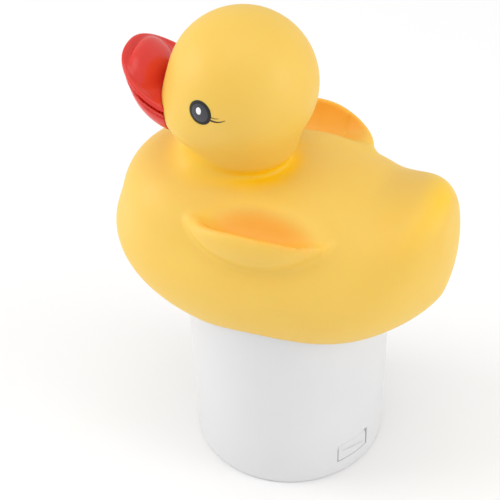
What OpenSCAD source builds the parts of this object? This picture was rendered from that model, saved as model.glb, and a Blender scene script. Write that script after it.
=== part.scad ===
// Floating chlorine dispenser: a hollow duck float that twists on to a tablet canister.
// Origin: centre of the canister's foot. +Z is up, the duck faces -Y and its left side is +X.

/* [Canister] */
// Radius of the canister's foot, outside
foot_r = 43; // [42.8:0.1:43.4]
// How much the canister widens per millimetre of height
wall_taper = 0.018; // [0.01:0.002:0.02]
// Wall thickness of the canister
can_wall = 2.2; // [1.8:0.1:2.4]
// Height of the canister's mouth above the ground
can_h = 97; // [96:0.5:98]
// Rounding of the canister's foot, outside
foot_round = 1.6; // [1:0.2:1.8]

/* [Base and flow dial] */
// Height of the underside of the base cap's floor
floor_z = 10; // [9.8:0.1:10.5]
// Thickness of the base cap's floor
floor_t = 2.5; // [2:0.5:3]
// Number of vent groups round the floor
vent_groups = 6; // [5:1:6]
// Angle that one vent takes up, in degrees
vent_angle = 24; // [18:1:26]
// Radial width of one vent
vent_w = 3.4; // [2.6:0.2:3.6]
// Radius of the flow dial
dial_r = 30.6; // [30.2:0.1:30.7]
// Thickness of the flow dial's disc
dial_t = 2.6; // [2.2:0.1:2.8]

/* [Bayonet] */
// Number of bayonet lugs
lug_count = 3; // [2:1:3]
// Half of the angle that one lug takes up, in degrees
lug_half = 15; // [12:1:16]
// Half of the angle that one ledge takes up, in degrees
ledge_half = 25; // [22:1:26]
// Turn from the open to the locked position, in degrees
lock_turn = 45; // [40:1:45]

/* [Float] */
// Half of the duck body's width
body_a = 51.4; // [51:0.2:54]
// Half of the duck body's length
body_b = 74.2; // [72:0.2:78]
// Half of the duck body's height
body_c = 39.8; // [38:0.2:41]
// Height of the middle of the duck's body
body_z = 112.6; // [111:0.2:115]
// Radius of the duck's head
head_r = 30.7; // [29.5:0.1:32]
// Height of the middle of the duck's head
head_z = 188.2; // [186:0.2:190]
// How far the top of the tail is swept up
tail_lift = 20; // [16:1:28]
// Half of the bill's width
bill_a = 20; // [19:0.5:21]
// Thickness of the duck's skin
skin = 2.4; // [2:0.2:2.6]

/* [Hidden] */
$fn = 96;

// canister
can_in = foot_r - can_wall;
window_z = [8, 19];        // lower and upper edge of a window
window_half = 12;          // half angle of a window
window_turn = 60.3;        // direction of the first window, from +X
stop_z = window_z[1] + 1.2;
stop_t = 1.8;
stop_r = 39.2;             // inside of the ledge that the base cap pushes up against

// base cap
cap_r = can_in - 0.2;
cap_skirt = 2;
cap_foot = 1.6;
cap_top = stop_z - 0.1;
hub_r = 30.9;              // inside of the wall round the flow dial
trough_r = [hub_r + 1.3, cap_r - cap_skirt];
floor_top = floor_z + floor_t;
rib_h = 2.5;
rib_w = 2;
rib_top = floor_top + rib_h;
boss_r = 5.5;
vent_r = [10.4, 16.8, 23.2];
vent_pitch = 360 / vent_groups;
snap_half = 11.2;          // half angle of a snap lug
snap_r = foot_r - 0.1;
snap_play = 0.2;

// ballast
ballast_play = 0.2;
ballast_z = [4.2, floor_z - ballast_play];
cover_z = [2.4, 4];
mark_r = [0.6, 0.9, 1.2];  // radii of the three flow marks
mark_depth = 0.5;

// dial stack, from the floor down
seal_t = 0.8;
seal_r = [28.2, 30.2];
dial_top = floor_z - seal_t;
dial_foot = dial_top - dial_t;
bar_foot = 2.2;
bar_w = 8;
bar_reach = 24;
hub_out = 7;
hub_bore = 5;              // room for the screw's head and washers
washer_t = 0.8;
screw_r = 1.95;
bore_play = 0.06;
dial_head_t = 1.8;
dial_head_r = 3.6;
screw_top = rib_top - 1;
dial_head_top = dial_foot - 2 * washer_t;

// neck
neck_seal_t = 1;
plate_z = can_h + neck_seal_t;
plate_t = 3.5;
plate_r = 46;
well_r = 46.4;             // inside of the well in the duck's belly
spigot_r = [38.2, 40];
spigot_h = 14;
lug_reach = 41.9;
lug_z = [plate_z - 13, plate_z - 9.5];
ledge_r = 40.35;
ledge_z = [plate_z - 9, plate_z - 6.5];
lug_pitch = 360 / lug_count;
first_lug = lug_pitch / 2;
stop_half = 1.5;           // half angle of the rib that stops a lug
gasket_t = 1;
flange_z = plate_z + plate_t + gasket_t;
flange_t = 2.5;
flange_r = 30.5;
clamp_t = 3;
clamp_boss_h = 5;
plate_screw_count = 6;
plate_screw_at = 34.6;
plate_screw_r = 1.45;
plate_hole_r = 1.7;
plate_head = [2.8, 1.7];   // radius and height of a plate screw's head
plug_r = 4;
plug_head = [7, 1.6];

// duck
body_y = -2;
head_y = -18;
head_at = [0, head_y, head_z];
eye_turn = 76.6;           // direction of an eye, from the duck's heading
eye_lift = 7.1;            // its angle above the middle of the head
eye_size = [5, 5.15];      // half width and half height
eye_depth = 1;
eye_proud = 0.35;
inlay_play = 0.1;
stem_r = 6;
stem_reach = [24, 34];     // distances of the stem's two ends in front of the head's middle
stem_drop = 9;             // how far it lies below the head's middle
cheek_at = [0, -30, 179];
cheek_size = [27.4, 20.4, 14.4];
tail_from = 38;            // where the tail starts to rise
body_fullness = 2.06;      // exponent of the body's outline from above: 2 is an ellipse
tail_sweep = 0.1;          // how far the tail leans back for each millimetre that it rises
breast_at = [0, -33, 132.5];
breast_size = [36, 35, 21.5];
neck_at = [0, -19.5, 160];
neck_size = [19, 23.5, 17];
wing_at = [31, -1, 143];
wing_size = [19.5, 31, 17.5];
wing_rim = [57, 150.9];    // radius of the rim's arc as seen from the side, and its top
pocket_at = [37.7, 2, 153.5];
pocket_size = [9, 28, 14.5];
bill_root = -44.8;          // where the bill is widest
bill_length = 22.7;        // from there to its tip
bill_back = 10;            // from there back into the head
bill_fullness = 2.41;      // exponent of the bill's outline from above
back_narrowing = 0.86;
lip_z = 180.1;             // height of the upper lip where the bill is widest
lip_tilt = 0.36;           // how far the lips rise for each millimetre towards the tip
lip_curl = 0.012;          // and how fast that rise grows
lip_round = 1.3;           // rounding of the upper lip
lip_gap = 1.1;
bead_r = 0.8;              // rounding of the lower lip
mouth_depth = 3;           // how far the mouth's slit is let in behind the lips
dome_at = [0, -58.3];      // middle of the dome on the upper bill
dome_size = [15.5, 7, 7.8];
keel_at = [0.62, 11];      // width of the keel as a share of the bill's, and its depth
keel_r = 3;

module ring(r_in, r_out, z) {
    translate([0, 0, z[0]])
        difference() {
            cylinder(r = r_out, h = z[1] - z[0]);
            translate([0, 0, -1]) cylinder(r = r_in, h = z[1] - z[0] + 2);
        }
}

// Part of a ring between two radii and two heights, half degrees to each side of direction at
module sector(r_in, r_out, z, at, half) {
    rotate([0, 0, at - half])
        rotate_extrude(angle = 2 * half)
            translate([r_in, z[0]]) square([r_out - r_in, z[1] - z[0]]);
}

module disc(r, z) {
    translate([0, 0, z[0]]) cylinder(r = r, h = z[1] - z[0]);
}

module spread(count, radius, first = 0) {
    for (i = [0 : count - 1])
        rotate([0, 0, first + i * 360 / count]) translate([radius, 0, 0]) children();
}

module blob(at, radii, facets = 32) {
    translate(at) hull() scale(radii) sphere(r = 1, $fn = facets);
}

function wall_in(z) = can_in + wall_taper * z;

/* Canister */

module canister() {
    color("whitesmoke") {
        difference() {
            rotate_extrude()
                polygon([[can_in, 0], [foot_r - foot_round, 0],
                         for (a = [-75 : 15 : 0])
                             [foot_r - foot_round * (1 - cos(a)), foot_round * (1 + sin(a))],
                         [foot_r + wall_taper * can_h, can_h], [wall_in(can_h), can_h]]);
            for (side = [0, 180])
                sector(can_in - 3, foot_r + 3, window_z, window_turn + side, window_half);
        }
        rotate_extrude()
            polygon([[stop_r, stop_z], [wall_in(stop_z) + 0.4, stop_z],
                     [wall_in(stop_z) + 0.4, stop_z + 2 * stop_t], [stop_r, stop_z + stop_t]]);
        for (i = [0 : lug_count - 1]) {
            sector(ledge_r, wall_in(can_h) + 0.4, ledge_z, i * lug_pitch, ledge_half);
            sector(ledge_r + 0.3, wall_in(can_h) + 0.8, [lug_z[0] - 1, ledge_z[0] + 0.6],
                   first_lug + lock_turn + lug_half + 2 * stop_half + i * lug_pitch, stop_half);
        }
    }
}

/* Base cap and ballast */

module vents(first) {
    for (i = [0 : vent_groups - 1], r = vent_r)
        sector(r, r + vent_w, [-1, floor_top + 1], first + i * vent_pitch, vent_angle / 2);
}

// A snap lug with a ramped face: its upper corner stands back behind a slanting step
module snap_lug(at) {
    height = window_z[1] - window_z[0] - 2 * snap_play;
    rotate([0, 0, at - snap_half])
        difference() {
            rotate_extrude(angle = 2 * snap_half)
                polygon([[cap_r - 0.5, window_z[0] + snap_play], [snap_r, window_z[0] + snap_play],
                         [snap_r, window_z[0] + 0.7 * height], [cap_r + 0.6, window_z[1] - snap_play],
                         [cap_r - 0.5, window_z[1] - snap_play]]);
            rotate([0, 0, snap_half]) translate([snap_r - 0.6, 0, window_z[0] + 0.42 * height])
                rotate([-14, 0, 0]) translate([0, -20, 0]) cube([10, 40, 30]);
        }
}

module base_cap() {
    color("white") {
        difference() {
            disc(cap_r - 1, [floor_z, floor_top]);
            vents(0);
            disc(screw_r, [floor_z - 1, screw_top]);
        }
        ring(cap_r - cap_skirt, cap_r, [cap_foot, cap_top]);
        ring(hub_r, trough_r[0], [cover_z[0], floor_z + 0.5]);
        difference() {
            union() {
                disc(boss_r, [floor_top - 0.5, rib_top]);
                spread(vent_groups, boss_r - 1, vent_pitch / 2)
                    translate([0, -rib_w / 2, floor_top - 0.5])
                        cube([cap_r - cap_skirt / 2 - boss_r + 1, rib_w, rib_h + 0.5]);
            }
            disc(screw_r, [floor_z - 1, screw_top]);
        }
        snap_lug(window_turn);
        snap_lug(window_turn + 180);
    }
}

module ballast_ring() {
    color("gray") ring(trough_r[0] + ballast_play, trough_r[1] - ballast_play, ballast_z);
}

module ballast_cover() {
    color("white")
        difference() {
            ring(trough_r[0], trough_r[1], cover_z);
            for (i = [0 : 2])
                rotate([0, 0, i * vent_pitch / 4]) translate([(trough_r[0] + trough_r[1]) / 2, 0, 0])
                    disc(mark_r[i], [cover_z[0] - 1, cover_z[0] + mark_depth]);
        }
}

/* Flow dial and what holds it */

module dial_seal() {
    color("dimgray") ring(seal_r[0], seal_r[1], [dial_top, floor_z]);
}

module dial_bar() {
    translate([-bar_reach, -bar_w / 2]) square([2 * bar_reach, bar_w]);
    translate([bar_reach, 0]) circle(r = bar_w / 2 / sin(60), $fn = 3);
    translate([-bar_reach, 0]) circle(r = bar_w / 2);
    circle(r = hub_out);
}

module flow_dial() {
    color("lightsteelblue")
        difference() {
            union() {
                difference() {
                    disc(dial_r, [dial_foot, dial_top]);
                    vents(vent_pitch / 2);
                }
                translate([0, 0, bar_foot]) linear_extrude(dial_foot - bar_foot + 0.5) dial_bar();
            }
            disc(hub_bore, [bar_foot - 1, dial_foot]);
            disc(screw_r + bore_play, [0, floor_z]);
        }
}

module dial_spring_washer() {
    color("silver") ring(screw_r + bore_play, 4, [dial_foot - washer_t, dial_foot]);
}

module dial_washer() {
    color("silver") ring(screw_r + bore_play, 4.4, [dial_head_top, dial_head_top + washer_t]);
}

module dial_screw() {
    color("silver") {
        disc(screw_r, [dial_head_top - dial_head_t / 2, screw_top]);
        difference() {
            disc(dial_head_r, [dial_head_top - dial_head_t, dial_head_top]);
            for (turn = [0, 90])
                rotate([0, 0, turn])
                    translate([-2, -0.45, dial_head_top - dial_head_t - 1]) cube([4, 0.9, 1.9]);
        }
    }
}

/* Neck: the plate under the duck and what holds it */

module neck_seal() {
    color("dimgray") ring(wall_in(can_h) + 0.1, foot_r + wall_taper * can_h - 0.2, [can_h, plate_z]);
}

module float_plate() {
    color("white") {
        difference() {
            disc(plate_r, [plate_z, plate_z + plate_t]);
            disc(plug_r, [plate_z - 1, plate_z + plate_t + 1]);
            spread(plate_screw_count, plate_screw_at) {
                disc(plate_hole_r, [plate_z - 1, plate_z + plate_t + 1]);
                disc(plate_head[0] + 0.2, [plate_z - 1, plate_z + plate_head[1]]);
            }
        }
        ring(spigot_r[0], spigot_r[1], [plate_z - spigot_h, plate_z + 0.5]);
        for (i = [0 : lug_count - 1])
            sector(spigot_r[1] - 0.5, lug_reach, lug_z, first_lug + i * lug_pitch, lug_half);
    }
}

module plate_screws() {
    color("silver")
        spread(plate_screw_count, plate_screw_at) {
            disc(plate_screw_r, [plate_z + plate_head[1] / 2, flange_z + flange_t + clamp_t + 3.5]);
            difference() {
                disc(plate_head[0], [plate_z, plate_z + plate_head[1]]);
                for (turn = [0, 90])
                    rotate([0, 0, turn]) translate([-1.6, -0.35, plate_z - 1]) cube([3.2, 0.7, 1.8]);
            }
        }
}

module air_plug() {
    color("black") {
        disc(plug_head[0], [plate_z - plug_head[1], plate_z]);
        disc(plug_r, [plate_z - 0.5, plate_z + plate_t + 1]);
        translate([0, 0, plate_z + plate_t]) cylinder(r1 = plug_r + 1, r2 = plug_r - 1, h = 4);
    }
}

module screw_holes(r, z) {
    spread(plate_screw_count, plate_screw_at) disc(r, z);
}

module shell_gasket() {
    color("dimgray")
        difference() {
            ring(flange_r, plate_r, [flange_z - gasket_t, flange_z]);
            screw_holes(plate_hole_r, [flange_z - 2, flange_z + 1]);
        }
}

module clamp_ring() {
    z = flange_z + flange_t;
    color("white")
        difference() {
            union() {
                ring(flange_r, plate_r, [z, z + clamp_t]);
                screw_holes(3.5, [z + 0.5, z + clamp_t + clamp_boss_h]);
            }
            screw_holes(plate_screw_r + 0.01, [z - 1, z + clamp_t + 4]);
        }
}

/* Duck */

function smooth(u) = let (v = min(max(u, 0), 1)) v * v * (3 - 2 * v);
function lift(y) = tail_lift * smooth((y - tail_from) / (body_y + body_b - tail_from));

function full(u) = sign(u) * pow(abs(u), 2 / body_fullness);

// The body: an ellipsoid whose back rises towards the tail, drawn in by the thickness given
module body_form(inset, rings, facets) {
    points = [for (i = [0 : rings], k = [0 : facets - 1])
        let (t = 4 + 172 * i / rings, f = 360 * k / facets,
             y = body_y - (body_b - inset) * full(cos(t)), half_lift = lift(y) / 2,
             w = (body_a - inset) * full(sin(t)), h = (body_c - inset) * full(sin(t)) + half_lift)
        [w * cos(f), y + tail_sweep * half_lift * (1 + sin(f)), body_z + half_lift + h * sin(f)]];
    polyhedron(points,
               [[for (k = [facets - 1 : -1 : 0]) k],
                for (i = [0 : rings - 1], k = [0 : facets - 1])
                    let (m = (k + 1) % facets)
                    [i * facets + k, i * facets + m, (i + 1) * facets + m, (i + 1) * facets + k],
                [for (k = [0 : facets - 1]) rings * facets + k]]);
}

module duck_form(inset, facets) {
    shrink = [inset, inset, inset];
    body_form(inset, facets, facets);
    blob(breast_at, breast_size - shrink, facets);
    blob(neck_at, neck_size - shrink, facets);
    blob(cheek_at, cheek_size - shrink, facets - 4);
    blob(head_at, [head_r, head_r, head_r] - shrink, facets + 8);
}

module mirrored(at) {
    for (side = [-1, 1]) translate([side * at[0], at[1], at[2]]) children();
}

module wings() {
    intersection() {
        mirrored(wing_at) blob([0, 0, 0], wing_size);
        translate([0, wing_at[1], wing_rim[1] - wing_rim[0]])
            rotate([0, 90, 0]) cylinder(r = wing_rim[0], h = 3 * body_a, center = true, $fn = 120);
    }
}

module wing_pockets(grow) {
    mirrored(pocket_at) blob([0, 0, 0], pocket_size + [grow, grow, grow]);
}

module head_toward(turn, lift) {
    translate(head_at) rotate([0, 0, turn - 90]) rotate([0, 90 - lift, 0]) children();
}

module eye_outline(play) {
    hull() scale([eye_size[1] + play, eye_size[0] + play]) circle(r = 1, $fn = 48);
}

// The pin that fixes the bill in the duck's face
module stem(play, reach) {
    translate(head_at - [0, 0, stem_drop]) rotate([90, 0, 0])
        disc(stem_r + play, reach);
}

module duck_shell() {
    color([0.97, 0.79, 0.38])
        difference() {
            union() {
                duck_form(0, 32);
                wings();
            }
            wing_pockets(0);
            difference() {
                duck_form(skin, 18);
                wing_pockets(skin);
                disc(well_r + skin, [0, flange_z + flange_t]);
            }
            disc(well_r, [0, flange_z]);
            disc(flange_r, [0, flange_z + flange_t + 1]);
            screw_holes(plate_hole_r, [flange_z - 1, flange_z + flange_t + 1]);
            for (side = [-1, 1])
                head_toward(side * eye_turn, eye_lift)
                    translate([0, 0, head_r - eye_depth]) linear_extrude(5) eye_outline(inlay_play);
            stem(0.1, [0, head_r + 5]);
        }
}

function lip_rise(y) = lip_tilt * (bill_root - y) + lip_curl * pow(max(bill_root - y, 0), 2);

// Balls of radius r along the bill's outline, drawn in by the distance given, above the lip
module rim(inset, above, r) {
    bend = 2 / bill_fullness;
    for (t = [-90 : 12 : 90])
        let (x = (bill_a - inset) * sign(t) * pow(abs(sin(t)), bend),
             y = bill_root - (bill_length - inset) * pow(cos(t), bend))
        translate([x, y, lip_z + lip_rise(y) + above]) sphere(r = r, $fn = 16);
    for (side = [-1, 1])
        translate([side * back_narrowing * (bill_a - inset), bill_root + bill_back,
                   lip_z + lip_rise(bill_root + bill_back) + above])
            sphere(r = r, $fn = 16);
}

module dome() {
    slope = lip_tilt + 2 * lip_curl * (bill_root - dome_at[1]);
    multmatrix([[1, 0, 0, dome_at[0]],
                [0, 1, 0, dome_at[1]],
                [0, -slope, 1, lip_z + lip_rise(dome_at[1]) + lip_round]])
        blob([0, 0, 0], dome_size, 48);
}

module bill() {
    keel_inset = (1 - keel_at[0]) * bill_a;
    color("red") {
        difference() {
            union() {
                hull() rim(lip_round, lip_round, lip_round);
                intersection() {
                    dome();
                    hull() {
                        rim(lip_round, lip_round, lip_round);
                        rim(lip_round, lip_round + 2 * dome_size[2], lip_round);
                    }
                }
                hull() {
                    rim(mouth_depth, lip_round, bead_r);
                    rim(mouth_depth, -lip_gap - bead_r, bead_r);
                }
                hull() {
                    rim(1 + bead_r, -lip_gap - bead_r, bead_r);
                    rim(keel_inset, -keel_at[1], keel_r);
                }
            }
            translate(head_at) sphere(r = head_r + 0.1);
            blob(neck_at, neck_size + [0.1, 0.1, 0.1]);
            blob(cheek_at, cheek_size + [0.1, 0.1, 0.1]);
        }
        stem(0, stem_reach);
    }
}

module eye(side) {
    color([0.25, 0.25, 0.27])
        intersection() {
            head_toward(side * eye_turn, eye_lift)
                translate([0, 0, head_r - eye_depth]) linear_extrude(5) eye_outline(0);
            translate(head_at) sphere(r = head_r + eye_proud, $fn = 240);
        }
}

module eye_left() {
    eye(1);
}

module eye_right() {
    eye(-1);
}

canister();
base_cap();
ballast_ring();
ballast_cover();
dial_seal();
flow_dial();
dial_spring_washer();
dial_washer();
dial_screw();
neck_seal();
float_plate();
plate_screws();
air_plug();
shell_gasket();
clamp_ring();
duck_shell();
bill();
eye_left();
eye_right();
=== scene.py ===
"""The looks of the floating chlorine dispenser: a vinyl duck on a white tablet canister.

The duck and its bill are worked out as fields, meshed, and cut to take the other pieces. The eyes
are laid on the head. Every other piece is the CAD's own mesh with a material.
"""

import math

import bpy
import numpy as np
from mathutils import Matrix, Vector


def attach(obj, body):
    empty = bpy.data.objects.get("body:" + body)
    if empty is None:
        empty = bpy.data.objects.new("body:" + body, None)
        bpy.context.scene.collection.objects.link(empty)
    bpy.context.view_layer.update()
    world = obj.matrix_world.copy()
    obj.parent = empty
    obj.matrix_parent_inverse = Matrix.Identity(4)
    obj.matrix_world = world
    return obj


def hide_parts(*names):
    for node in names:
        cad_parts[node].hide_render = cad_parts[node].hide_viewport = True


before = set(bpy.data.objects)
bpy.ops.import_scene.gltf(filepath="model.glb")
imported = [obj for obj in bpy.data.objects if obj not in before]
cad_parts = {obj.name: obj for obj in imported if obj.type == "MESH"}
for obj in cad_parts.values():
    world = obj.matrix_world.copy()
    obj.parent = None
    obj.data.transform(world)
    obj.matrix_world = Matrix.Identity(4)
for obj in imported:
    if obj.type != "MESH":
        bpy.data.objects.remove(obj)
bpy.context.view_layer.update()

MM = 0.001           # the forms below are worked out in millimetres

# The duck's own places and sizes, in millimetres and degrees. The duck faces -Y and its left side
# is +X. A "blend" is the distance over which a form is rounded into what it joins, a "round" is
# the same for an edge that is cut, and an "over" is the distance over which a change takes place.

# Half sizes a, b and c along X, Y and Z. The tail rises and leans back behind tail_from.
BODY = {"y": -1.95, "z": 112.6, "a": 51.4, "b": 74.0, "c": 39.8, "fullness": 2.06,
        "tail_from": 37.0, "tail_lift": 21.0, "tail_sweep": 0.13, "sweep_foot": 0.7,
        "tail_end": 0.3}
BREAST = {"at": (0, -33.6, 133.4), "size": (36, 35.5, 21.5), "blend": 10.0}
HEAD = np.array([0.0, -18.0, 188.2])
HEAD_R = 30.5
CHEEKS = {"at": (0, -30, 178), "size": (27, 20.3, 15.5), "blend": 8.0}
# The crease below the neck is tight behind foot_from and opens towards the breast.
NECK = {"at": (0, -19.5, 160), "size": (17.5, 22, 12), "blend": 13.0,
        "foot_blend": 4.0, "foot_more": 9, "foot_from": -14, "foot_over": 26}
# The rim is an arch seen from the side. Behind draw_from the wing is drawn in to the back.
WING = {"at": (31.0, -1.0, 143.0), "size": (19.5, 31.0, 17.5), "rim_r": 57.0, "rim_top": 150.9,
        "rim_round": 3.0, "blend": 3.0, "draw_in": 0.13, "draw_from": 6.0, "draw_over": 2}
# The hollow inside a wing. Its edge is rounder at the body's side, inside slope_from.
POCKET = {"at": (37.7, 2.0, 153.5), "size": (9.4, 29.0, 14.5), "narrowing": 0.02,
          "edge_round": 2.2, "slope_more": 6, "slope_from": 40.0, "slope_over": 6}
# Steps on the hollow's outer wall: where each one is along Y, and how deep it is.
FEATHERS = {"steps": ((12.3, 0.9), (-1.0, 0.6)), "rise_over": 0.8, "fade_over": 5.0,
            "wall_from": 37.0, "wall_over": 4, "rim_over": 4}
BLUSH = {"wall_from": 37.0, "wall_over": 5, "deep_over": 8, "reach": 3.0}
SKIN = 2.4           # thickness of the vinyl
# The well in the belly that takes the float plate, and the holes in its roof.
WELL = {"r": 46.4, "top": 102.5, "sleeve_top": 105.0, "hole_r": 30.5, "screw_at": 34.6,
        "screw_r": 1.7, "screws": 6, "rim_round": 1.6}
CUT_PAST = 2         # how far a cutter reaches past what it cuts
# The eye's direction from the head's middle, its half sizes, and the recess that takes it.
EYE = {"turn": 76.6, "lift": 7.1, "half_w": 5.0, "half_h": 5.15, "depth": 1.0, "play": 0.1,
       "reach": 5}
# Heights of a pad's edge and crown above the head. Places on it are from the eye's middle.
PUPIL = {"grow": -0.36, "base": -0.5, "crown": 0.34}
OUTLINE = {"grow": 0.16, "base": -0.1, "crown": 0.16}
GLINT = {"at": (-0.35, 0.75), "half_w": 1.35, "half_h": 1.75, "base": 0.1, "crown": 0.42}
LASHES = {"lash": {"start": (4.1, -1.6), "bend": (7.6, -3.0), "tip": (11.3, -0.6), "width": 1.0},
          "short_lash": {"start": (4.7, -0.3), "bend": (6.4, -1.0), "tip": (8.4, -0.2),
                         "width": 0.5}}
LASH_FORM = {"ridge": 0.14, "edge": -0.02, "taper": 0.75, "taper_curve": 1.5}
# Both jaws' outline is widest at the root, and the lips tilt and curl up towards the tip.
BILL = {"root": -44.8, "half_w": 20.1, "length": 22.7, "back": 16.0, "fullness": 2.41,
        "lip": 180.1, "tilt": 0.361, "curl": 0.0119, "head_play": 0.05, "head_round": 0.5}
BRIM = {"half_t": 1.3, "inset": 0.5, "edge_r": 1.4, "blend": 1.2}
DOME = {"y": -57.4, "half_w": 14.6, "half_l": 7.2, "fullness": 2.5, "foot": 0.8, "height": 7.6,
        "inset": 1.0, "edge_round": 1.0, "foot_round": 0.8, "blend": 1.8}
# These are wider and longer than the upper lip by the amounts given, and lie below it.
LOWER_JAW = {"wider": 1.1, "longer": -2.2, "fullness": 2.3, "depth": 14.0, "gap": 0.2,
             "below": 1.0, "edge_round": 0.6}
BEAD = {"wider": 1.3, "longer": -1.2, "r": 0.6, "below": 0.1, "blend": 0.4}
MOUTH = {"wider": -3.0, "longer": -4.0, "half_h": 2, "jaw_blend": 0.2, "blend": 0.3}

# Where each field is sampled, and how far apart, in a draft and otherwise.
DUCK_MESH = {"low": (-56, -84, 68), "high": (56, 78, 223), "draft": 2.2, "fine": 1.15,
             "inside": 2.6}
BILL_MESH = {"low": (-22, -70, 160), "high": (22, -32, 204), "draft": 1.0, "fine": 0.55}
SETTLE_ROUNDS = 5    # how often a mesh's points are moved on to its surface
TINY = 1e-9          # these two keep roots and divisions away from zero
SMALL = 1e-6
LEAST_SLOPE = 0.02   # a field's slope is taken as no less than this
LEAST_SQUARE = 0.05  # and its square as no less than this where points are moved

# The camera that the photo was fitted with, in metres and degrees.
CAMERA = {"at": (0.48518, 0.16872, 0.56147), "heading": 21.0, "down": 41.7, "roll": -2.0,
          "sensor": 36, "lens": 115.2, "clip_start": 0.01}
# Place, diameter and power of each lamp. All aim at LIT.
LIT = (0, 0, 0.12)
LAMPS = {"left_box": ((0.30, -1.0, 0.55), 0.7, 4.2), "right_box": ((0.05, 1.1, 0.55), 0.7, 3.4),
         "top_box": ((0.1, 0.0, 1.3), 1.0, 2.6)}
SKY = 0.79           # strength of the white world
FLOOR = {"half": 3000, "z": -0.05}   # in millimetres, just below the canister's foot
MIX_A, MIX_B, MIX_OUT = 6, 7, 2      # a mix node's sockets for colours


# ---------------------------------------------------------------- forms as fields

def smooth_min(a, b, k):
    """The lower of two fields, rounded where they meet over the distance k."""
    h = np.maximum(k - np.abs(a - b), 0) / k
    return np.minimum(a, b) - h * h * k / 4


def smooth_max(a, b, k):
    """The higher of two fields, rounded where they meet over the distance k."""
    return -smooth_min(-a, -b, k)


def smooth_step(u):
    """0 up to u = 0, 1 from u = 1, and a smooth rise between."""
    u = np.clip(u, 0, 1)
    return u * u * (3 - 2 * u)


def ellipsoid(p, at, radii):
    """Distance to an ellipsoid, close to true near its surface. Fields are negative inside."""
    q = (p - np.asarray(at)) / np.asarray(radii)
    k0 = np.sqrt((q * q).sum(-1)) + TINY
    k1 = np.sqrt(((q / np.asarray(radii)) ** 2).sum(-1)) + TINY
    return k0 * (k0 - 1) / k1


def gradient(field, p, step=0.05):
    """A field's slope along X, Y and Z."""
    parts = []
    for axis in range(3):
        shift = np.zeros(3)
        shift[axis] = step
        parts.append((field(p + shift) - field(p - shift)) / (2 * step))
    return np.stack(parts, -1)


def mirrored(p):
    """The points with both sides of the duck laid over its left side."""
    return np.stack([np.abs(p[..., 0]), p[..., 1], p[..., 2]], -1)


def shifted(p, axis, distance):
    """The points moved along one axis by a distance that differs from point to point."""
    moved = np.array(p, float)
    moved[..., axis] += distance
    return moved


def body_field(p):
    """The duck's body: a full ellipsoid whose back rises towards the tail."""
    b = BODY
    x, y, z = p[..., 0], p[..., 1], p[..., 2]
    rise = b["y"] + b["b"] - b["tail_from"]
    half_lift = b["tail_lift"] / 2 * smooth_step((y - b["tail_from"]) / rise)
    up = np.clip((z - b["z"] - half_lift) / (b["c"] + half_lift), -1, 1)
    y = y - b["tail_sweep"] * half_lift * (b["sweep_foot"] + up)
    along = np.abs(y - b["y"]) / b["b"]
    end = np.clip(1 - along ** b["fullness"], 0, 1) ** (1 / b["fullness"])
    height = b["c"] + half_lift / np.maximum(end, b["tail_end"])
    across = np.sqrt((x / b["a"]) ** 2 + ((z - b["z"] - half_lift) / height) ** 2)
    n = b["fullness"]
    size = (along ** n + across ** n) ** (1 / n)
    steepness = np.sqrt((x / b["a"] ** 2) ** 2 + ((z - b["z"] - half_lift) / height ** 2) ** 2
                        + ((y - b["y"]) / b["b"] ** 2) ** 2) + SMALL
    return size * (size - 1) / steepness


def wing_frame(p):
    """Both sides laid over the left one, with the wing's rear end drawn in towards the back."""
    m, w = mirrored(p), WING
    behind = np.logaddexp(0, (m[..., 1] - w["draw_from"]) / w["draw_over"])
    return shifted(m, 0, w["draw_in"] * behind * w["draw_over"])


def rim_distance(m):
    """Distance above a wing's arched rim, as seen from the side."""
    below = WING["rim_top"] - WING["rim_r"]
    return np.hypot(m[..., 1] - WING["at"][1], m[..., 2] - below) - WING["rim_r"]


def wing_field(p):
    """One folded wing on each side, cut off along its arched rim."""
    m = wing_frame(p)
    return smooth_max(ellipsoid(m, WING["at"], WING["size"]), rim_distance(m), WING["rim_round"])


def pocket_field(p):
    """The hollow inside each wing, narrower towards the rear, with feather steps on its wall."""
    m, f = wing_frame(p), FEATHERS
    step = 0
    for y, deep in f["steps"]:
        behind = m[..., 1] - y
        fade = np.exp(-np.maximum(behind, 0) / f["fade_over"])
        step = step + deep * smooth_step(behind / f["rise_over"]) * fade
    step = step * smooth_step((m[..., 0] - f["wall_from"]) / f["wall_over"])
    step = step * smooth_step(-rim_distance(m) / f["rim_over"])
    body_side = np.minimum(m[..., 0] - POCKET["at"][0], 0)
    m = shifted(m, 0, POCKET["narrowing"] * np.maximum(m[..., 1], 0) * body_side)
    return ellipsoid(m, POCKET["at"], POCKET["size"]) - step


def trunk_field(p):
    """Body, breast and wings, before the hollows inside the wings are taken out."""
    breast = ellipsoid(p, BREAST["at"], BREAST["size"])
    trunk = smooth_min(body_field(p), breast, BREAST["blend"])
    return smooth_min(trunk, wing_field(p), WING["blend"])


def duck_field(p, inset=0.0):
    """The duck's outside, all its forms run into each other, or a surface inset from it."""
    slope = smooth_step((POCKET["slope_from"] - np.abs(p[..., 0])) / POCKET["slope_over"])
    edge_round = POCKET["edge_round"] + POCKET["slope_more"] * slope
    trunk = smooth_max(trunk_field(p), -pocket_field(p), edge_round)
    head = np.sqrt(((p - HEAD) ** 2).sum(-1)) - HEAD_R
    head = smooth_min(head, ellipsoid(p, CHEEKS["at"], CHEEKS["size"]), CHEEKS["blend"])
    head = smooth_min(head, ellipsoid(p, NECK["at"], NECK["size"]), NECK["blend"])
    ahead = smooth_step((NECK["foot_from"] - p[..., 1]) / NECK["foot_over"])
    return smooth_min(trunk, head, NECK["foot_blend"] + NECK["foot_more"] * ahead) + inset


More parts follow.
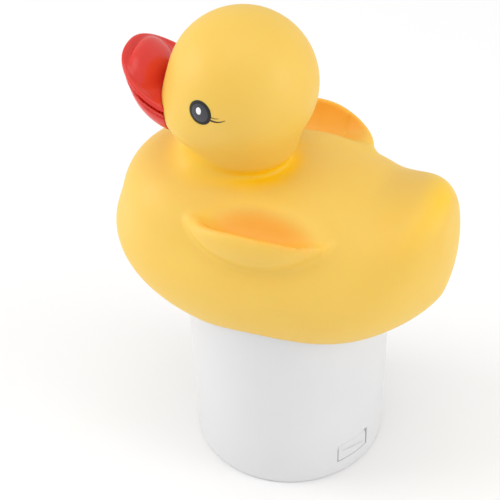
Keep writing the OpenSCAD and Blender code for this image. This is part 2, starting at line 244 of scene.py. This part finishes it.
def wing_blush(p):
    """Where the hollow inside a wing is sprayed orange: its outer wall, and deep in it."""
    outer_wall = smooth_step((np.abs(p[..., 0]) - BLUSH["wall_from"]) / BLUSH["wall_over"])
    deep = smooth_step(-trunk_field(p) / BLUSH["deep_over"])
    near = smooth_step(1 - np.abs(pocket_field(p)) / BLUSH["reach"])
    return near * np.maximum(outer_wall, deep)


def hull_field(p):
    """The duck's outside with the well for the plate let into its belly, its rim rounded."""
    radius = np.sqrt(p[..., 0] ** 2 + p[..., 1] ** 2)
    well = np.maximum(radius - WELL["r"], p[..., 2] - WELL["top"])
    return smooth_max(duck_field(p), -well, WELL["rim_round"])


def outline_size(x, y, wider, longer):
    """1 on a jaw's outline as seen from above, grown from the upper lip's by two distances."""
    b, n = BILL, BILL["fullness"]
    along = np.where(y < b["root"], (b["root"] - y) / (b["length"] + longer),
                     (y - b["root"]) / b["back"])
    return ((np.abs(x) / (b["half_w"] + wider)) ** n + along ** n + TINY) ** (1 / n)


def distance_to(size, p):
    """Distance to the surface on which a size is 1, close to true near it."""
    slope = np.linalg.norm(gradient(size, p), axis=-1)
    return (size(p) - 1) / np.maximum(slope, LEAST_SLOPE)


def outline_distance(p, wider=0.0, longer=0.0):
    """Distance outside a jaw's outline, as seen from above."""
    return distance_to(lambda q: outline_size(q[..., 0], q[..., 1], wider, longer), p)


def levelled(p):
    """The points as they would lie if the lips were level: they curl up towards the bill's tip."""
    ahead = BILL["root"] - p[..., 1]
    rise = BILL["tilt"] * ahead + BILL["curl"] * np.maximum(ahead, 0) ** 2
    return shifted(p, 2, -rise)


def upper_jaw(p):
    """A wide brim with a rounded edge, and a dome across it near the tip."""
    z = p[..., 2] - BILL["lip"]
    out = outline_distance(p)
    half_t, edge_r, d = BRIM["half_t"], BRIM["edge_r"], DOME
    plate = smooth_max(np.abs(z - half_t) - half_t, out + BRIM["inset"], edge_r)
    edge = np.hypot(out + edge_r, z - edge_r) - edge_r

    def dome_size(q):
        across = np.abs(q[..., 0]) / d["half_w"]
        along = np.abs(q[..., 1] - d["y"]) / d["half_l"]
        plan = (across ** d["fullness"] + along ** d["fullness"] + TINY) ** (1 / d["fullness"])
        return np.hypot(plan, (q[..., 2] - BILL["lip"] - d["foot"]) / d["height"])

    dome = smooth_max(distance_to(dome_size, p), out + d["inset"], d["edge_round"])
    dome = smooth_max(dome, -z, d["foot_round"])
    return smooth_min(smooth_min(plate, edge, BRIM["blend"]), dome, d["blend"])


def lower_jaw(p):
    """A boat-shaped jaw, and a thin bead in the gap between it and the upper one."""
    j, n = LOWER_JAW, LOWER_JAW["fullness"]

    def height(q):
        return q[..., 2] - BILL["lip"] + j["gap"]

    def boat_size(q):
        plan = outline_size(q[..., 0], q[..., 1], j["wider"], j["longer"])
        sunk = np.minimum(height(q), 0) / j["depth"]
        return (plan ** n + np.abs(sunk) ** n) ** (1 / n)

    z = height(p)
    boat = smooth_max(distance_to(boat_size, p), z + j["below"], j["edge_round"])
    out = outline_distance(p, BEAD["wider"], BEAD["longer"])
    bead = np.hypot(out + BEAD["r"], z + BEAD["below"]) - BEAD["r"]
    return smooth_min(boat, bead, BEAD["blend"])


def bill_field(p):
    """Both jaws and the closed mouth between them, ending on the head."""
    level = levelled(p)
    mouth = np.maximum(outline_distance(level, MOUTH["wider"], MOUTH["longer"]),
                       np.abs(level[..., 2] - BILL["lip"]) - MOUTH["half_h"])
    jaws = smooth_min(upper_jaw(level), lower_jaw(level), MOUTH["jaw_blend"])
    jaws = smooth_min(jaws, mouth, MOUTH["blend"])
    return smooth_max(jaws, BILL["head_play"] - duck_field(p), BILL["head_round"])


# ---------------------------------------------------------------- meshes

def edge_crossings(value, axis):
    """Where the surface crosses the lattice's edges along one axis.

    Gives whether each crossing's quad keeps its turn, its point, and the four cells round it.
    """
    starts, ends = [slice(None)] * 3, [slice(None)] * 3
    starts[axis], ends[axis] = slice(0, -1), slice(1, None)
    v0, v1 = value[tuple(starts)], value[tuple(ends)]
    crossed = (v0 < 0) != (v1 < 0)
    v0, v1 = v0[crossed], v1[crossed]
    index = np.argwhere(crossed)
    points = index.astype(float)
    points[:, axis] += v0 / (v0 - v1)
    b, c = [a for a in range(3) if a != axis]
    cells = []
    for step_b, step_c in ((0, 0), (-1, 0), (-1, -1), (0, -1)):
        cell = index.copy()
        cell[:, b] += step_b
        cell[:, c] += step_c
        cells.append(tuple(cell.T))
    return (v0 < 0) != (axis == 1), points, cells


def settled(field, points, pitch):
    """The points moved on to the surface along the field's slope."""
    for _ in range(SETTLE_ROUNDS):
        slope = gradient(field, points)
        square = np.maximum((slope ** 2).sum(-1), LEAST_SQUARE)
        move = (field(points) / square)[:, None] * slope
        points = points - np.clip(move, -pitch / 2, pitch / 2)
    return points


def surface_net(field, low, high, pitch):
    """A closed mesh of quads on field = 0, with one corner in each lattice cell that it crosses."""
    axes = [np.arange(a, b + pitch, pitch) for a, b in zip(low, high)]
    value = field(np.stack(np.meshgrid(*axes, indexing="ij"), -1))
    crossings = [edge_crossings(value, axis) for axis in range(3)]
    lattice = [len(a) - 1 for a in axes]
    total, count = np.zeros(lattice + [3]), np.zeros(lattice)
    for _, points, cells in crossings:
        for cell in cells:
            np.add.at(total, cell, points)
            np.add.at(count, cell, 1)
    used = count > 0
    number = -np.ones(lattice, int)
    number[used] = np.arange(used.sum())
    corners = total[used] / count[used][:, None] * pitch + np.asarray(low, float)
    faces = []
    for keeps_turn, _, cells in crossings:
        quads = np.stack([number[cell] for cell in cells], -1)
        quads[~keeps_turn] = quads[~keeps_turn][:, ::-1]
        faces.append(quads)
    return settled(field, corners, pitch), np.concatenate(faces).tolist()


def new_object(name, points, faces):
    """An object from points in millimetres."""
    mesh = bpy.data.meshes.new(name)
    mesh.from_pydata((np.asarray(points) * MM).tolist(), [], faces)
    mesh.validate()
    obj = bpy.data.objects.new(name, mesh)
    bpy.context.scene.collection.objects.link(obj)
    return obj


def mark(obj, name, rule):
    """Stores a number from 0 to 1 at each point of the mesh, for its material to read."""
    mesh = obj.data
    points = np.zeros(len(mesh.vertices) * 3)
    mesh.vertices.foreach_get("co", points)
    values = mesh.attributes.new(name, "FLOAT", "POINT")
    values.data.foreach_set("value", rule(points.reshape(-1, 3) / MM).astype(np.float32))


def mark_crease_shade(obj, field, reaches=(1.5, 3.0, 6.0, 11.0)):
    """Marks how deep in a hollow each point lies, 0 in the open and 1 in a tight crease, where the
    materials paint shade.
    """
    def depth(points):
        out = gradient(field, points, step=0.1)
        out /= np.maximum(np.linalg.norm(out, axis=-1, keepdims=True), SMALL)
        return np.mean([1 - np.clip(field(points + out * r) / r, 0, 1) for r in reaches], 0)

    mark(obj, "hollow", depth)


def drum(name, radius, low, high, at=(0, 0), segments=128):
    """A closed upright cylinder, from the height low to the height high."""
    turns = [2 * math.pi * i / segments for i in range(segments)]
    ring = [(at[0] + radius * math.cos(t), at[1] + radius * math.sin(t)) for t in turns]
    points = [(*at, low), *[(*q, low) for q in ring], *[(*q, high) for q in ring], (*at, high)]
    foot, top, last = 1, 1 + segments, 1 + 2 * segments
    pairs = [(i, (i + 1) % segments) for i in range(segments)]
    faces = [(0, foot + j, foot + i) for i, j in pairs]
    faces += [(foot + i, foot + j, top + j, top + i) for i, j in pairs]
    faces += [(top + i, top + j, last) for i, j in pairs]
    return new_object(name, points, faces)


def cut_with(obj, cutter):
    """Takes one closed mesh out of another, and then removes it."""
    step = obj.modifiers.new("cut", "BOOLEAN")
    step.operation = "DIFFERENCE"
    step.solver = "MANIFOLD"
    step.object = cutter
    bpy.context.view_layer.update()
    result = obj.evaluated_get(bpy.context.evaluated_depsgraph_get())
    made = bpy.data.meshes.new_from_object(result)
    obj.modifiers.remove(step)
    old = obj.data
    obj.data = made
    bpy.data.meshes.remove(old)
    bpy.data.objects.remove(cutter)


def finish_mesh(obj, material, sharp=42):
    """Smooth shading, with edges over the angle given kept crisp."""
    mesh = obj.data
    mesh.polygons.foreach_set("use_smooth", [True] * len(mesh.polygons))
    mesh.set_sharp_from_angle(angle=math.radians(sharp))
    mesh.materials.clear()
    mesh.materials.append(material)
    return obj


def toward(turn, lift):
    """Directions from the head's middle: outwards, sideways to the left, and up."""
    t, e = math.radians(turn), math.radians(lift)
    out = np.array([math.sin(t) * math.cos(e), -math.cos(t) * math.cos(e), math.sin(e)])
    side = np.array([math.cos(t), math.sin(t), 0.0])
    return out, side, np.cross(out, side)


# ---------------------------------------------------------------- materials

def new_material(name):
    """A material, its nodes and its surface shader."""
    material = bpy.data.materials.new(name)
    material.use_nodes = True
    tree = material.node_tree
    shader = tree.nodes.get("Principled BSDF")
    return material, tree, shader


def add_node(tree, kind, **inputs):
    """A node with its inputs set. A space in an input's name is written as an underscore."""
    node = tree.nodes.new(kind)
    for key, value in inputs.items():
        node.inputs[key.replace("_", " ")].default_value = value
    return node


def noise(tree, scale, detail=3.0, rough=0.5):
    """Noise in object coordinates; scale is features per metre."""
    where = tree.nodes.get("where")
    if where is None:
        where = tree.nodes.new("ShaderNodeTexCoord")
        where.name = "where"
    node = add_node(tree, "ShaderNodeTexNoise", Scale=scale, Detail=detail, Roughness=rough)
    tree.links.new(where.outputs["Object"], node.inputs["Vector"])
    return node.outputs["Fac"]


def spread_over(tree, source, low, high, start=0.3, stop=0.7):
    """The source mapped from start..stop to low..high."""
    node = add_node(tree, "ShaderNodeMapRange", From_Min=start, From_Max=stop, To_Min=low,
                    To_Max=high)
    tree.links.new(source, node.inputs["Value"])
    return node.outputs["Result"]


def mix_colours(tree, factor, first, second):
    """From the first colour at factor 0 to the second at 1. Each is a value or a socket."""
    node = tree.nodes.new("ShaderNodeMix")
    node.data_type = "RGBA"
    tree.links.new(factor, node.inputs["Factor"])
    for socket, value in ((node.inputs[MIX_A], first), (node.inputs[MIX_B], second)):
        if isinstance(value, tuple):
            socket.default_value = (*value, 1)
        else:
            tree.links.new(value, socket)
    return node.outputs[MIX_OUT]


def bump(tree, shader, height, strength, distance, edge=0.0):
    """Relief in metres, on edges rounded by the radius edge."""
    node = add_node(tree, "ShaderNodeBump", Strength=strength, Distance=distance)
    tree.links.new(height, node.inputs["Height"])
    if edge:
        rounding = add_node(tree, "ShaderNodeBevel", Radius=edge)
        rounding.samples = 4
        tree.links.new(rounding.outputs["Normal"], node.inputs["Normal"])
    tree.links.new(node.outputs["Normal"], shader.inputs["Normal"])


def plastic(name, light, dark, gloss, grain=1400.0, grain_height=0.00003, soft=0.0,
            soft_reach=(1.0, 1.0, 1.0), edge=0.0, coat=0.0, tints=()):
    """Moulded plastic: a base colour that drifts a little, an uneven gloss and a fine skin.

    Each tint is a mark on the mesh, where the tint starts and is full, and its colour: painted
    shade in creases, or the duck's sprayed blush.
    """
    material, tree, shader = new_material(name)
    drift = spread_over(tree, noise(tree, scale=28.0, detail=4.0), low=0.0, high=1.0)
    colour = mix_colours(tree, drift, light, dark)
    for mark_name, start, stop, tint in tints:
        depth = tree.nodes.new("ShaderNodeAttribute")
        depth.attribute_name = mark_name
        share = spread_over(tree, depth.outputs["Fac"], low=0.0, high=1.0, start=start, stop=stop)
        colour = mix_colours(tree, share, colour, tint)
    tree.links.new(colour, shader.inputs["Base Color"])
    sheen = noise(tree, scale=90.0, detail=5.0, rough=0.6)
    tree.links.new(spread_over(tree, sheen, low=gloss - 0.04, high=gloss + 0.05),
                   shader.inputs["Roughness"])
    shader.inputs["IOR"].default_value = 1.46
    if soft:
        shader.inputs["Subsurface Weight"].default_value = soft
        shader.inputs["Subsurface Radius"].default_value = soft_reach
        shader.inputs["Subsurface Scale"].default_value = 0.003
    if coat:
        shader.inputs["Coat Weight"].default_value = coat
        shader.inputs["Coat Roughness"].default_value = 0.12
    bump(tree, shader, noise(tree, grain), strength=0.5, distance=grain_height, edge=edge)
    return material


def metal(name, colour, gloss, grain):
    """Metal with fine uneven brushing."""
    material, tree, shader = new_material(name)
    worn = spread_over(tree, noise(tree, scale=240.0, detail=6.0, rough=0.65), low=0.0, high=1.0)
    dull = tuple(c * 0.72 for c in colour)
    tree.links.new(mix_colours(tree, worn, colour, dull), shader.inputs["Base Color"])
    shader.inputs["Metallic"].default_value = 1.0
    brushing = noise(tree, grain, detail=4.0)
    tree.links.new(spread_over(tree, brushing, low=gloss - 0.07, high=gloss + 0.1),
                   shader.inputs["Roughness"])
    scratches = noise(tree, grain * 3, detail=2.0)
    bump(tree, shader, scratches, strength=0.35, distance=0.00002, edge=0.0002)
    return material


# Painted shade: the hollow tint turns creases a deep golden orange. The blush is the duck's own
# sprayed orange.
YELLOW = plastic("yellow_vinyl", (0.850, 0.560, 0.100), (0.835, 0.530, 0.086), 0.50, grain=900.0,
                 grain_height=0.00002, soft=0.30, soft_reach=(1.0, 0.45, 0.12),
                 tints=[("blush", 0.0, 1.5, (0.92, 0.41, 0.036)),
                        ("hollow", 0.18, 0.72, (0.99, 0.60, 0.0))])
# Painted shade: the hollow tint darkens the bill's creases to a deeper red.
RED = plastic("red_plastic", (0.76, 0.032, 0.018), (0.70, 0.024, 0.013), 0.30, grain=1100.0,
              grain_height=0.00001, soft=0.12, soft_reach=(1.0, 0.15, 0.1), coat=0.25,
              tints=[("hollow", 0.22, 0.7, (0.62, 0.010, 0.002))])
WHITE = plastic("white_plastic", (0.735, 0.735, 0.74), (0.715, 0.715, 0.725), 0.36, grain=1600.0,
                grain_height=0.000012, soft=0.15, edge=0.0003)
DIAL = plastic("dial_plastic", (0.60, 0.64, 0.68), (0.57, 0.61, 0.66), 0.38, edge=0.0003,
               grain_height=0.000012)
GREY_EYE = plastic("eye_grey", (0.052, 0.052, 0.064), (0.042, 0.042, 0.052), 0.36,
                   grain_height=0.00001)
BLACK_EYE = plastic("eye_black", (0.006, 0.005, 0.004), (0.009, 0.007, 0.006), 0.55,
                    grain_height=0.00001)
WHITE_EYE = plastic("eye_white", (0.90, 0.90, 0.89), (0.86, 0.86, 0.86), 0.30,
                    grain_height=0.000008)
LASH = plastic("lash_brown", (0.030, 0.013, 0.004), (0.045, 0.020, 0.007), 0.6)
SEAL = plastic("seal_rubber", (0.030, 0.031, 0.033), (0.042, 0.043, 0.045), 0.62, grain=1500.0,
               grain_height=0.00004, edge=0.0002)
PLUG = plastic("plug_rubber", (0.016, 0.016, 0.017), (0.026, 0.026, 0.028), 0.55, grain=1500.0,
               grain_height=0.00004, edge=0.0003)
STEEL = metal("ballast_steel", (0.42, 0.43, 0.45), 0.48, 500.0)
STAINLESS = metal("stainless", (0.66, 0.66, 0.67), 0.27, 900.0)

CARRIED = {
    "canister": WHITE, "base_cap": WHITE, "ballast_ring": STEEL, "ballast_cover": WHITE,
    "dial_seal": SEAL, "flow_dial": DIAL, "dial_spring_washer": STAINLESS,
    "dial_washer": STAINLESS, "dial_screw": STAINLESS, "neck_seal": SEAL, "float_plate": WHITE,
    "plate_screws": STAINLESS, "air_plug": PLUG, "shell_gasket": SEAL, "clamp_ring": WHITE,
}
for node_name, material in CARRIED.items():
    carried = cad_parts[node_name]
    carried.data.materials.clear()
    carried.data.materials.append(material)


# ---------------------------------------------------------------- the duck

def eye_recess(side, segments=48):
    """A closed oval drum that points out of the head where an eye goes, to cut its recess."""
    out, across, up = toward(side * EYE["turn"], EYE["lift"])
    turns = [2 * math.pi * i / segments for i in range(segments)]
    points = []
    for reach in (HEAD_R - EYE["depth"], HEAD_R + EYE["reach"]):
        points += [HEAD + out * reach + across * (EYE["half_w"] + EYE["play"]) * math.cos(t)
                   + up * (EYE["half_h"] + EYE["play"]) * math.sin(t) for t in turns]
    ring = list(range(segments))
    faces = [ring[::-1], [segments + i for i in ring]]
    faces += [(i, (i + 1) % segments, segments + (i + 1) % segments, segments + i) for i in ring]
    return new_object("eye_recess", points, faces)


def make_duck():
    """The hollow vinyl duck: outside and inside from one field, then its openings."""
    low, high = DUCK_MESH["low"], DUCK_MESH["high"]
    pitch = DUCK_MESH["fine"]
    outer = new_object("duck", *surface_net(hull_field, low, high, pitch))
    inner = new_object("duck_inside", *surface_net(lambda p: duck_field(p, SKIN), low, high,
                                                   DUCK_MESH["inside"]))
    cut_with(inner, drum("sleeve", WELL["r"] + SKIN, low[2], WELL["sleeve_top"]))
    cut_with(outer, inner)
    roof = (WELL["top"] - CUT_PAST, WELL["sleeve_top"] + CUT_PAST)
    cut_with(outer, drum("flange_hole", WELL["hole_r"], *roof))
    for i in range(WELL["screws"]):
        turn = 2 * math.pi * i / WELL["screws"]
        at = (WELL["screw_at"] * math.cos(turn), WELL["screw_at"] * math.sin(turn))
        cut_with(outer, drum("screw_hole", WELL["screw_r"], *roof, at, segments=24))
    for side in (-1, 1):
        cut_with(outer, eye_recess(side))
    finish_mesh(outer, YELLOW)
    # Marks the creases for the painted shade, and where the sprayed blush goes.
    mark_crease_shade(outer, duck_field)
    mark(outer, "blush", wing_blush)
    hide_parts("duck_shell")
    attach(outer, "float")


def make_bill():
    """The red bill, both jaws in one mesh."""
    pitch = BILL_MESH["fine"]
    net = surface_net(bill_field, BILL_MESH["low"], BILL_MESH["high"], pitch)
    bill = new_object("duck_bill", *net)
    finish_mesh(bill, RED, sharp=50)
    # Marks the bill's creases for the painted shade.
    mark_crease_shade(bill, bill_field, reaches=(0.8, 1.6, 3.0))
    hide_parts("bill")
    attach(bill, "float")


def on_head(side, back, up, proud):
    """A point on the head, from how far back and up from the eye's middle it lies."""
    out, across, rise = toward(side * EYE["turn"], EYE["lift"])
    flat = out * HEAD_R + across * back * side + rise * up
    return HEAD + flat / np.linalg.norm(flat) * (HEAD_R + proud)


def eye_pad(name, side, middle, half_w, half_h, base, crown, material, rings=7, segments=48):
    """A low oval dome with a rounded edge, lying on the head."""
    points, faces = [], []
    for k in range(rings):
        share = math.cos(math.pi / 2 * k / rings)
        height = base + (crown - base) * math.sin(math.pi / 2 * k / rings) ** 0.6
        for i in range(segments):
            t = 2 * math.pi * i / segments
            points.append(on_head(side, middle[0] + half_w * share * math.cos(t),
                                  middle[1] + half_h * share * math.sin(t), height))
    points.append(on_head(side, *middle, crown))
    for k in range(rings - 1):
        for i in range(segments):
            j = (i + 1) % segments
            faces.append((k * segments + i, k * segments + j,
                          (k + 1) * segments + j, (k + 1) * segments + i))
    top = rings * segments
    last = (rings - 1) * segments
    faces += [(last + i, last + (i + 1) % segments, top) for i in range(segments)]
    faces.append(list(range(segments))[::-1])
    if side < 0:
        faces = [tuple(f)[::-1] for f in faces]
    return finish_mesh(new_object(name, points, faces), material, sharp=60)


def lash(name, side, start, bend, tip, width, steps=18):
    """A tapering curved hair, slightly raised from the head."""
    form, points, faces = LASH_FORM, [], []
    start, bend, tip = (np.array(q, float) for q in (start, bend, tip))
    for i in range(steps + 1):
        s = i / steps
        middle = (1 - s) ** 2 * start + 2 * s * (1 - s) * bend + s * s * tip
        along = 2 * (1 - s) * (bend - start) + 2 * s * (tip - bend)
        across = np.array([-along[1], along[0]]) / np.linalg.norm(along)
        half = width / 2 * (1 - form["taper"] * s ** form["taper_curve"])
        for offset, proud in ((-half, form["edge"]), (0, form["ridge"]), (half, form["edge"])):
            points.append(on_head(side, *(middle + across * offset), proud))
    for i in range(steps):
        a, b = 3 * i, 3 * i + 3
        faces += [(a, a + 1, b + 1, b), (a + 1, a + 2, b + 2, b + 1), (a + 2, a, b, b + 2)]
    faces += [(2, 1, 0), (3 * steps, 3 * steps + 1, 3 * steps + 2)]
    if side > 0:
        faces = [tuple(f)[::-1] for f in faces]
    return finish_mesh(new_object(name, points, faces), LASH, sharp=60)


def make_eye(side, word):
    """A grey pupil in a black outline, with a white glint and two lashes behind it."""
    node_name = "eye_" + word

    def oval(part, form, material):
        return eye_pad(node_name + part, side, (0, 0), EYE["half_w"] + form["grow"],
                       EYE["half_h"] + form["grow"], form["base"], form["crown"], material)

    pupil = oval("_pupil", PUPIL, GREY_EYE)
    parts = [oval("_outline", OUTLINE, BLACK_EYE),
             eye_pad(node_name + "_glint", side, GLINT["at"], GLINT["half_w"], GLINT["half_h"],
                     GLINT["base"], GLINT["crown"], WHITE_EYE)]
    parts += [lash(node_name + "_" + part, side, **shape) for part, shape in LASHES.items()]
    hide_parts(node_name)
    for piece in [pupil, *parts]:
        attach(piece, "float")


make_duck()
make_bill()
for eye_side, eye_word in ((1, "left"), (-1, "right")):
    make_eye(eye_side, eye_word)


# ---------------------------------------------------------------- studio

def make_floor():
    """A pale sweep with a faint unevenness."""
    material, tree, shader = new_material("studio_floor")
    tone = spread_over(tree, noise(tree, scale=3.0, detail=2.0), low=0.0, high=1.0)
    tree.links.new(mix_colours(tree, tone, (0.93, 0.93, 0.93), (0.915, 0.915, 0.92)),
                   shader.inputs["Base Color"])
    shader.inputs["Roughness"].default_value = 0.9
    shader.inputs["Specular IOR Level"].default_value = 0.1
    half, z = FLOOR["half"], FLOOR["z"]
    corners = [(-half, -half, z), (half, -half, z), (half, half, z), (-half, half, z)]
    floor = new_object("studio_floor", corners, [(0, 1, 2, 3)])
    floor.data.materials.append(material)


def soft_light(name, at, size, power):
    """A round soft box that faces the dispenser."""
    lamp = bpy.data.lights.new(name, "AREA")
    lamp.shape = "DISK"
    lamp.size = size
    lamp.energy = power
    obj = bpy.data.objects.new(name, lamp)
    bpy.context.scene.collection.objects.link(obj)
    obj.location = at
    obj.rotation_euler = (Vector(LIT) - Vector(at)).to_track_quat("-Z", "Y").to_euler()


def make_light():
    """A white world and three soft boxes."""
    world = bpy.data.worlds.new("studio")
    bpy.context.scene.world = world
    world.use_nodes = True
    sky = world.node_tree.nodes["Background"]
    sky.inputs["Color"].default_value = (1, 1, 1, 1)
    sky.inputs["Strength"].default_value = SKY
    for name, lamp in LAMPS.items():
        soft_light(name, *lamp)
    bpy.context.scene.view_settings.view_transform = "Standard"


def make_camera():
    """A long lens, behind the duck's left side by its heading, that looks down on the duck."""
    heading, down, roll = (math.radians(CAMERA[key]) for key in ("heading", "down", "roll"))
    forward = Vector((-math.cos(heading) * math.cos(down), -math.sin(heading) * math.cos(down),
                      -math.sin(down)))
    right = Vector((-math.sin(heading), math.cos(heading), 0))
    up = right.cross(forward)
    right, up = (right * math.cos(roll) + up * math.sin(roll),
                 up * math.cos(roll) - right * math.sin(roll))
    lens = bpy.data.cameras.new("camera")
    lens.sensor_width = CAMERA["sensor"]
    lens.lens = CAMERA["lens"]
    lens.clip_start = CAMERA["clip_start"]
    camera = bpy.data.objects.new("camera", lens)
    bpy.context.scene.collection.objects.link(camera)
    turn = Matrix((right, up, -forward)).transposed()
    camera.matrix_world = Matrix.Translation(CAMERA["at"]) @ turn.to_4x4()
    bpy.context.scene.camera = camera


make_floor()
make_light()
make_camera()
